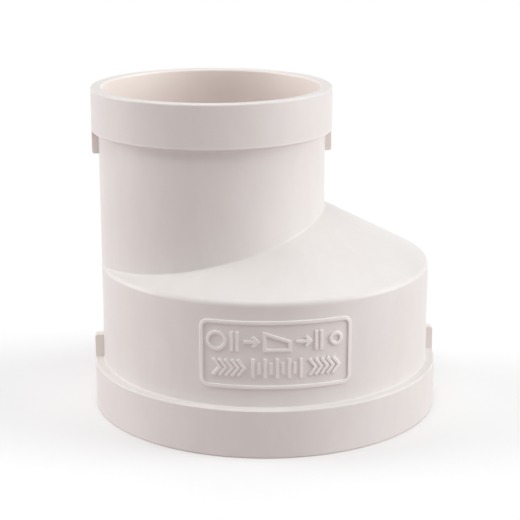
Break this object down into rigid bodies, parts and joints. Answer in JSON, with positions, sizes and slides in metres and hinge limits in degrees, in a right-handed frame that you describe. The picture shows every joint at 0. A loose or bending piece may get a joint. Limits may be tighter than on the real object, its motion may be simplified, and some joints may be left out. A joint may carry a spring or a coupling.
{
  "type": "eccentric pipe reducer",
  "caption": "Eccentric drain pipe reducer: two solvent-cement sockets on parallel axes, with a sloping shoulder between them and their walls in line on one side.",
  "frame": {"origin": "centre of the large mouth, on the plane that the fitting stands on", "axes": "+Z along both socket axes, towards the small mouth; the small socket is offset towards -X; the marking plate faces -Y"},
  "size_m": [0.1222, 0.1222, 0.1138],
  "materials": {
    "pvc": "satin, off-white moulded PVC-U",
    "pvc_marking": "satin, off-white moulded PVC-U, raised 0.5 mm"
  },
  "bodies": {
    "root": {"large_socket": "pvc", "large_collar": "pvc", "large_pipe_stop": "pvc", "shoulder": "pvc", "neck": "pvc", "small_pipe_stop": "pvc", "small_socket": "pvc", "small_collar": "pvc", "upper_left_lug": "pvc", "upper_right_lug": "pvc", "lower_left_lug": "pvc", "lower_right_lug": "pvc", "marking_frame": "pvc_marking", "marking_symbols": "pvc_marking"}
  },
  "joints": []
}
